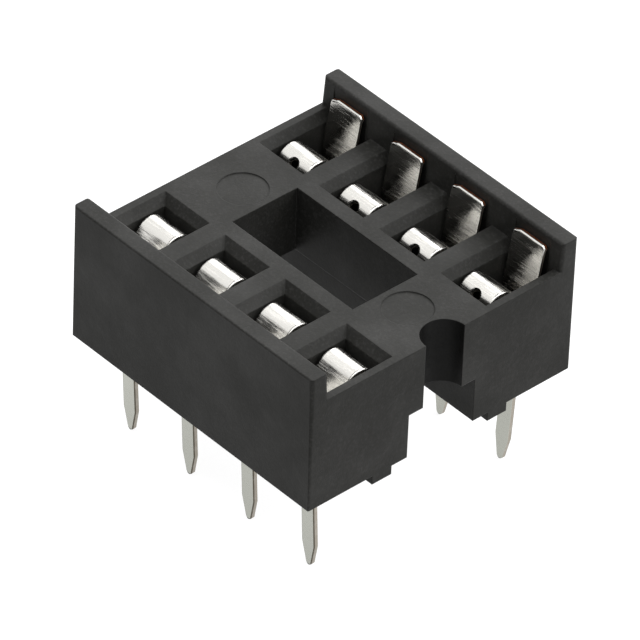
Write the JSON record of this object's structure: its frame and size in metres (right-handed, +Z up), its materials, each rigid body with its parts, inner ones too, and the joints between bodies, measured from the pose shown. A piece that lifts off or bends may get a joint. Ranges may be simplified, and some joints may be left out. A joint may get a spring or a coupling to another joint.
{
  "type": "integrated circuit socket",
  "caption": "Open-frame dual-leaf socket for a dual-in-line chip, with side walls, an end notch and solder tails.",
  "frame": {"origin": "middle of the plane that the four feet stand on, which is the top face of the board", "axes": "+X along the rows of contacts towards the notched end, +Y across the rows, +Z up out of the board"},
  "size_m": [0.01, 0.01, 0.0081],
  "materials": {
    "moulding": "fine matt moulded thermoplastic",
    "tinned_contact": "bright tin plate on stamped copper alloy, bare at the sheared edges"
  },
  "bodies": {
    "root": {"housing": "moulding", "contact_1": "tinned_contact", "contact_2": "tinned_contact", "contact_3": "tinned_contact", "contact_4": "tinned_contact", "contact_5": "tinned_contact", "contact_6": "tinned_contact", "contact_7": "tinned_contact", "contact_8": "tinned_contact"}
  },
  "joints": []
}
